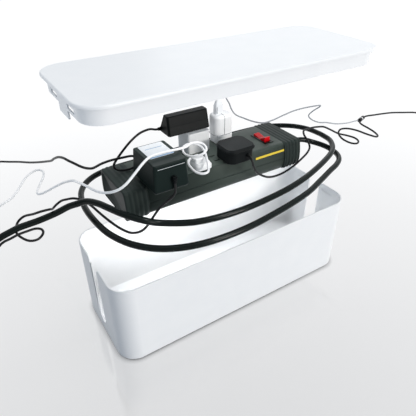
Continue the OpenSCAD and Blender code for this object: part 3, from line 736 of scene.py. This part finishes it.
def lengthwise(a, b, y):
    """An edge along the strip, further out than y."""
    return abs(a.y) > y and abs(a.y - b.y) < 0.1


end_cap("cap_left", extent("end_cap_left")[0], 1, "end_cap_left")
end_cap("cap_right", extent("end_cap_right")[1], -1, "end_cap_right")
on_top = both_above(STRIP_TOP - 0.1)
seam_z = extent("strip_lower_shell")[5]
upper = refined("strip_top_shell", "strip_upper_shell", strip_dark, "strip", [
    (4.2, 6, lambda a, b: on_top(a, b) and lengthwise(a, b, 33)),
    (0.3, 2, lambda a, b: on_top(a, b) and abs(a.y) < 32 and -130 < a.x < 56),
])
stands_for("strip_upper_shell", "strip_dark", upper)
lower = refined("strip_base_shell", "strip_lower_shell", strip_dark, "strip", [
    (1.2, 3, lambda a, b: max(a.z, b.z) < STRIP_Z + 0.1 and lengthwise(a, b, 33)),
    (0.35, 2, lambda a, b: min(a.z, b.z) > seam_z - 0.1 and lengthwise(a, b, 37)),
])
stands_for("strip_lower_shell", "strip_dark", lower)

SWITCH_X = 68
housing = refined("switch_frame", "switch_housing", switch_black, "strip", [
    (0.5, 3, both_above(STRIP_TOP + 1.1)),
])
stands_for("switch_housing", "switch_black", housing)


def key_face(a, b):
    """The edges of the rocker's red key that show above the strip, without its pins."""
    return max(abs(a.x - SWITCH_X), abs(b.x - SWITCH_X)) < 5.1 and max(a.z, b.z) > STRIP_TOP - 0.5


key = refined("rocker_key", "rocker", rocker_red, "rocker", [(0.7, 4, key_face)])
stands_for("rocker", "rocker_red", key)
boot = [(-2.0, 4.15), (-2.0, 7.0), (0.0, 7.0), (0.0, 8.1), (0.4, 8.5), (2.1, 8.5), (2.5, 8.1), (3.2, 7.1)]
for k in range(6):
    along = 4.0 + 3.5 * k
    r = 7.0 - 0.3 * k
    boot.extend([(along, r), (along + 1.9, r - 0.1), (along + 2.2, r - 0.7), (along + 3.2, r - 0.75)])
boot.extend([(25.4, 5.2), (26.0, 4.9), (26.0, 4.05)])
gland_at = (extent("end_cap_right")[1], 0, STRIP_Z + 15.5)
gland = lathe("gland_boot", gland_at, (1, 0, 0), boot, cord_black, closed=False)
stands_for("cord_gland", "cord_black", gland)
stripe = refined("stripe", "stripe_label", label_yellow, "strip", [(0.12, 2, lambda a, b: True)])
stands_for("stripe_label", "label_yellow", stripe)


# ---------------------------------------- what is plugged in

def rings_of(plan, steps):
    """Rings for stack(): a plan (x0, x1, y0, y1) at each (inset, corner radius, height above the strip)."""
    x0, x1, y0, y1 = plan
    return [(x0 + inset, x1 - inset, y0 + inset, y1 - inset, r, STRIP_TOP + h) for inset, r, h in steps]


def outlet_sleeve(name, route, way, back, profile, material):
    """A ribbed sleeve along a cord's way out, from some mm back of the start of the cord's route."""
    way = Vector(way)
    return lathe(name, Vector(route[0]) - way * back, way, profile, material)


def brick_adapter():
    """A block that draws in upwards, with a groove round it, a pale line in the groove along its front as a
    painted highlight, and its plug and outlet.
    """
    x0, x1, _, y1, z0, _ = extent("brick_adapter")
    steps = [(0, 3.4, 3.5), (1.0, 3.2, 21.5), (1.7, 3.1, 34.5), (1.9, 3.1, 34.8), (1.9, 3.1, 35.3),
             (1.8, 3.1, 35.6), (2.0, 3.0, 40)]
    body = stack("brick_body", rings_of((x0, x1, -66.5, y1), steps), adapter_green, top=1.6, base=5.0)
    # A pale line in the groove along the front face only: a painted highlight of the groove's edge.
    line = [(-127.5, -64.75, z0 + 35.1), (-112, -64.85, z0 + 35.1), (-93, -64.75, z0 + 35.1)]
    seam = tube("brick_painted_highlight", line, 0.45, label_white, sides=8)
    foot = block("brick_foot", (-127, -97, -32, y1), 2, z0, z0 + 4.5, adapter_black, top=0.3, base=0.5)
    outlet = outlet_sleeve("brick_outlet", BRICK_AIR, (0, 0, -1), 7.3, [
        (0, 2.2), (0.5, 2.9), (2.4, 3.0), (2.8, 2.5), (3.4, 2.5), (3.8, 2.8), (4.8, 2.7), (5.2, 2.2),
        (5.8, 2.2), (6.2, 2.4), (6.9, 2.3), (7.3, 1.6)], adapter_black)
    neck = block("brick_neck", (-111.5, -106.5, -69.5, -63.5), 0.8, z0 + 17.3, z0 + 23.5, adapter_black,
                 top=0.8)
    stands_for("brick_adapter", "adapter_black", body, seam, foot, outlet, neck)
    x0, x1, y0, y1, z0, _ = extent("brick_label")
    thin = {"base": 0.02, "steps": 2}
    field = block("label_field", (x0, x1, y0, y1), 1.2, z0, z0 + 0.25, label_white, top=0.08, **thin)
    near = block("label_band_near", (x0 + 0.2, x1 - 0.2, y0 + 0.2, y0 + 2.9), 0.6, z0 + 0.2, z0 + 0.35,
                 label_blue, top=0.05, **thin)
    far = block("label_band_far", (-122, -100, -22.6, -21.4), 0.5, z0 + 0.2, z0 + 0.33, label_blue,
                top=0.05, **thin)
    stands_for("brick_label", "label_white", field, near, far)


def wedge_adapter():
    """A ridge with a groove round it, plugged into the top of the tap."""
    body = stack("wedge_body", [
        (-71.5, -8.5, 13, 42, 3.0, 275.6), (-70.6, -8.2, 16.2, 37.8, 3.0, 286.6),
        (-70.3, -8.4, 16.6, 37.4, 2.9, 286.9), (-70.3, -8.4, 16.6, 37.3, 2.9, 287.4),
        (-70.5, -8.2, 16.5, 37.3, 3.0, 287.7), (-69.5, -8, 20, 33, 3.0, 300)],
        adapter_black, top=1.6, base=1.0)
    outlet = outlet_sleeve("wedge_outlet", WEDGE_AIR, (-1, 0, 0), 10.4, [
        (0, 3.0), (3.4, 3.0), (3.9, 2.5), (4.6, 2.5), (5.0, 2.8), (6.0, 2.7), (6.4, 2.2), (7.1, 2.2),
        (7.5, 2.4), (8.6, 2.2), (9.9, 1.9), (10.2, 1.5)], adapter_black)
    stands_for("wedge_adapter", "adapter_black", body, outlet)


def cube_tap():
    """A plain white block with rounded edges."""
    x0, x1, y0, y1, z0, z1 = extent("cube_tap")
    body = block("tap_body", (x0, x1, y0, y1), 3.0, z0, z1, adapter_white, top=0.9)
    stands_for("cube_tap", "adapter_white", body)


def tall_charger():
    """A rounded charger on a smaller foot, with a seam over its middle and one round its base."""
    x0, x1, y0, y1, z0, z1 = extent("tall_charger")
    front = y0 + 2
    split = z0 + 11.7
    low = block("charger_low", (x0 + 1, x1 - 1, y0, y1 - 2), 6, z0, split, adapter_white, top=0.7)
    high = block("charger_high", (x0, x1, front, y1), 8, split - 0.1, z1, adapter_white, top=4.0, base=0.5)
    flank = [(-0.07, split + 0.8), (-0.07, z1 - 4.2), (0.9, z1 - 1.4), (3.6, z1)]
    over = [(15.5, front + y, z) for y, z in flank] + [(15.5, y1 - y, z) for y, z in reversed(flank)]
    seam = tube("charger_seam", over, 0.6, seam_dark, sides=6)
    round_base = ring_of(x0 + 0.1, x1 - 0.1, front + 0.1, y1 - 0.1, 8, split + 0.1)
    joint = tube("charger_joint", round_base + round_base[:1], 0.6, seam_dark, sides=6)
    stands_for("tall_charger", "adapter_white", low, high, seam, joint)
    x0, x1, y0, y1, z0, z1 = extent("charger_plug")
    plug = stack("charger_connector", [
        (x0, x1, y0, y1, 1.6, z0), (x0, x1, y0, y1, 1.6, z1 - 9),
        (x0 + 0.6, x1 - 0.6, y0 + 0.6, y1 - 0.6, 1.6, z1 - 7.5),
        (x0 + 2.4, x1 - 2.4, y0 + 1.6, y1 - 1.6, 1.4, z1)], plug_clear, top=1.0, base=0.4)
    # A grey strip on the plug's front for its slit: painted shade where the slit is sunk.
    slit = block("charger_slit_shade", (x0 + 1.2, x0 + 2.4, y0 - 0.2, y0 + 0.4), 0.2, z0 + 1, z1 - 10, seam_grey,
                 top=0.15, base=0.1, steps=2)
    stands_for("charger_plug", "plug_clear", plug, slit)


def flat_plug():
    """A low plug under a wider rounded cap."""
    x0, x1, _, y1, z0, _ = extent("flat_plug")
    low = block("flat_plug_low", (x0 + 3, x1 - 3, -50, y1), 10, z0, z0 + 17.2, adapter_black,
                top=0.6, base=1.6)
    rings = rings_of((x0, x1, -52, y1), [(0, 12, 17), (0.4, 11.6, 18.5), (1.8, 10.2, 21)])
    cap = stack("flat_plug_cap", rings, adapter_black, top=0.9)
    outlet = outlet_sleeve("flat_outlet", FLAT, (0, -1, 0), 6.8, [
        (0, 3.2), (3.6, 3.2), (4.2, 2.7), (4.7, 2.7), (5.1, 2.9), (6.1, 2.6), (6.6, 1.6)], adapter_black)
    stands_for("flat_plug", "adapter_black", low, cap, outlet)


def white_plug():
    """A small plug with a raised neck, from which its cord leaves sideways."""
    z0, z1 = extent("white_plug")[4:]
    body = stack("white_plug_body", [
        (-61, -38, -40, -11.5, 5, z0), (-61, -38, -40, -11.5, 5, z0 + 5.5),
        (-59.5, -39.5, -38, -13, 4.4, z0 + 9)], adapter_white, top=1.6, base=0.8)
    neck = block("white_plug_neck", (-60, -48, -34, -20), 2.0, z0 + 8.5, z1, adapter_white, top=1.6, base=0.2)
    outlet = outlet_sleeve("white_outlet", WHITE_AIR, (-1, 0, 0), 6.5, [
        (0, 2.4), (3.8, 2.4), (4.3, 2.0), (4.8, 2.0), (5.2, 2.2), (5.8, 2.0), (6.2, 1.5)], adapter_white)
    stands_for("white_plug", "adapter_white", body, neck, outlet)


for make in (brick_adapter, wedge_adapter, cube_tap, tall_charger, flat_plug, white_plug):
    make()


# ---------------------------------------- CAD nodes that stay

for material, kept in ((brass, ("live_bus", "neutral_bus", "earth_bus", "switch_terminals", "plug_blades",
                                "mains_plug_blades")),
                       (wire_brown, ("live_wire",)), (wire_blue, ("neutral_wire",)),
                       (wire_green, ("earth_wire",)), (steel, ("strip_screws",))):
    for node in kept:
        if not nodes[node].material_slots:
            nodes[node].data.materials.append(material)
        for held in nodes[node].material_slots:
            held.material = material


# ---------------------------------------- floor and surroundings

def add_floor():
    """A pale floor: a glow that hardly shades, a thin contact shadow, and a faint mirror near the box."""
    mesh = bpy.data.meshes.new("floor")
    mesh.from_pydata([(-9, -9, 0), (9, -9, 0), (9, 9, 0), (-9, 9, 0)], [], [(0, 1, 2, 3)])
    floor = bpy.data.objects.new("floor", mesh)
    bpy.context.scene.collection.objects.link(floor)
    look = bpy.data.materials.new("floor")
    look.use_nodes = True
    mesh.materials.append(look)
    tree = look.node_tree
    tree.nodes.remove(tree.nodes["Principled BSDF"])
    place = shader_node(tree, "NewGeometry").outputs["Position"]
    # The glow's strength is painted shade: dimmer near (-0.3, -0.45), the point below the camera, and
    # brighter away from it. Where the AO finds the box close it is dimmer still, as a painted contact shadow.
    away = vector_maths(tree, "DISTANCE", place, (-0.3, -0.45, 0.0))
    contact = shader_node(tree, "AmbientOcclusion", {"Distance": 0.008}).outputs["AO"]
    strength = maths(tree, "MULTIPLY", rescaled(tree, away, 0.3, 1.3, 0.80, 1.20), contact)
    glow = shader_node(tree, "Emission", {"Strength": strength}).outputs["Emission"]
    matt = shader_node(tree, "BsdfDiffuse", {"Color": (0.85, 0.85, 0.86, 1.0)}).outputs["BSDF"]
    plain = shader_node(tree, "MixShader", {"Fac": 0.30, 1: glow, 2: matt}).outputs["Shader"]
    aside = vector_maths(tree, "ABSOLUTE", vector_maths(tree, "ADD", place, (0.05, 0.0, 0.0)))
    beyond = vector_maths(tree, "MULTIPLY_ADD", aside, (2.4, 1.0, 1.0), (-0.367, -0.076, 0.0))
    sides = shader_node(tree, "SeparateXYZ", {"Vector": beyond}).outputs
    nearest = maths(tree, "MAXIMUM", sides["X"], sides["Y"])
    polish = rescaled(tree, nearest, 0.03, 0.085, 0.18, 0.0, "SMOOTHSTEP")
    mirror = shader_node(tree, "BsdfGlossy", {"Roughness": 0.07}).outputs["BSDF"]
    polished = shader_node(tree, "MixShader", {"Fac": polish, 1: plain, 2: mirror}).outputs["Shader"]
    dim = shader_node(tree, "BsdfDiffuse", {"Color": (0.43, 0.45, 0.48, 1.0)}).outputs["BSDF"]
    rays = shader_node(tree, "LightPath").outputs
    seen = maths(tree, "MAXIMUM", rays["Is Camera Ray"], rays["Is Glossy Ray"])
    seen = maths(tree, "MAXIMUM", seen, rays["Is Transmission Ray"])
    shown = shader_node(tree, "MixShader", {"Fac": seen, 1: dim, 2: polished}).outputs["Shader"]
    tree.links.new(shown, tree.nodes["Material Output"].inputs["Surface"])


def add_world():
    """White to the camera, a dome with a bright far side to reflections, and dusky light from the left."""
    world = bpy.data.worlds.new("studio")
    bpy.context.scene.world = world
    world.use_nodes = True
    tree = world.node_tree
    sky = shader_node(tree, "TexCoord").outputs["Generated"]
    dusk = rescaled(tree, vector_maths(tree, "DOT_PRODUCT", sky, (-0.98, -0.2, 0.0)), 0.2, 0.9)
    tint = shader_node(tree, "Mix", {"Factor": dusk, "A": (0.87, 0.885, 0.905, 1.0),
                                     "B": (0.10, 0.17, 0.25, 1.0)}, data_type="RGBA")
    light = tree.nodes["Background"]
    tree.links.new(tint.outputs["Result"], light.inputs["Color"])
    dome = rescaled(tree, vector_maths(tree, "DOT_PRODUCT", sky, (0.40, 0.62, 0.67)), 0.1, 0.75, 0.22, 1.0)
    mirrored = shader_node(tree, "Background", {"Color": (0.95, 0.98, 1.0, 1.0), "Strength": dome})
    white = shader_node(tree, "Background", {"Color": (1.0, 1.0, 1.0, 1.0), "Strength": 1.0})
    rays = shader_node(tree, "LightPath").outputs
    unseen = shader_node(tree, "MixShader", {"Fac": rays["Is Glossy Ray"], 1: light.outputs["Background"],
                                             2: mirrored.outputs["Background"]}).outputs["Shader"]
    direct = maths(tree, "MAXIMUM", rays["Is Camera Ray"], rays["Is Transmission Ray"])
    shown = shader_node(tree, "MixShader", {"Fac": direct, 1: unseen, 2: white.outputs["Background"]})
    tree.links.new(shown.outputs["Shader"], tree.nodes["World Output"].inputs["Surface"])


add_floor()
add_world()


# ---------------------------------------- lamps

def group(name, *pieces):
    """A collection of pieces, for lamps that light only some of them."""
    made = bpy.data.collections.new(name)
    for each in pieces:
        made.objects.link(bpy.data.objects[each])
    return made


def lamp(name, place, target, size, power, lit, colour=(1.0, 1.0, 1.0), spread=180):
    """A soft oblong lamp aimed at a point, for a group of pieces."""
    data = bpy.data.lights.new(name, "AREA")
    data.shape = "RECTANGLE"
    data.size, data.size_y = size
    data.energy = power
    data.color = colour
    data.spread = math.radians(spread)
    made = bpy.data.objects.new(name, data)
    bpy.context.scene.collection.objects.link(made)
    way = Vector(target) - Vector(place)
    made.matrix_world = Matrix.Translation(Vector(place)) @ way.to_track_quat("-Z", "Y").to_matrix().to_4x4()
    made.light_linking.receiver_collection = lit


all_but_floor = group("all_but_floor", "floor")
all_but_floor.collection_objects[0].light_linking.link_state = "EXCLUDE"
hollow = group("hollow", "box_shell")
pale = group("pale", "label_field", "label_band_near", "label_band_far", "charger_connector", "charger_high",
             "white_cord_whole", "white_plug_body", "white_plug_neck")
left_side = group("left_side", "lid_shell", "white_cord_whole")
top_pieces = ("strip_top_shell", "cap_left", "cap_right", "brick_body", "flat_plug_low", "flat_plug_cap")
tops = group("tops", *top_pieces)
dark = group("dark", *top_pieces, "mains_outer", "mains_inner", "mains_tail_tube", "strip_base_shell")

lamp("key", (0.8, -2.2, 0.85), (0.0, 0.0, 0.15), (0.7, 0.45), 28.5, all_but_floor, (1.0, 0.97, 0.93))
lamp("overhead", (-0.5, 0.2, 2.3), (0.0, 0.0, 0.2), (2.2, 1.6), 1.3, all_but_floor)
lamp("back", (1.5, 1.6, 1.1), (0.05, 0.0, 0.25), (1.6, 1.0), 3.2, all_but_floor)
lamp("inside", (-0.01, -0.035, 0.172), (-0.01, 0.035, 0.0), (0.31, 0.05), 0.125, hollow, spread=95)
lamp("inside_left", (-0.04, 0.0, 0.165), (-0.19, 0.0, 0.08), (0.10, 0.10), 0.07, hollow)
lamp("pale", (0.0, -0.02, 0.342), (0.0, 0.0, 0.0), (0.30, 0.10), 0.085, pale)
lamp("left", (-1.2, -0.1, 0.42), (-0.2, 0.0, 0.33), (0.5, 0.4), 1.8, left_side)
lamp("spark", (0.5, -0.9, 1.6), (0.0, -0.1, 0.2), (0.35, 0.25), 7.5, dark)
lamp("under_lid", (-0.055, 0.0, 0.342), (-0.055, 0.0, 0.0), (0.19, 0.10), 0.175, tops)
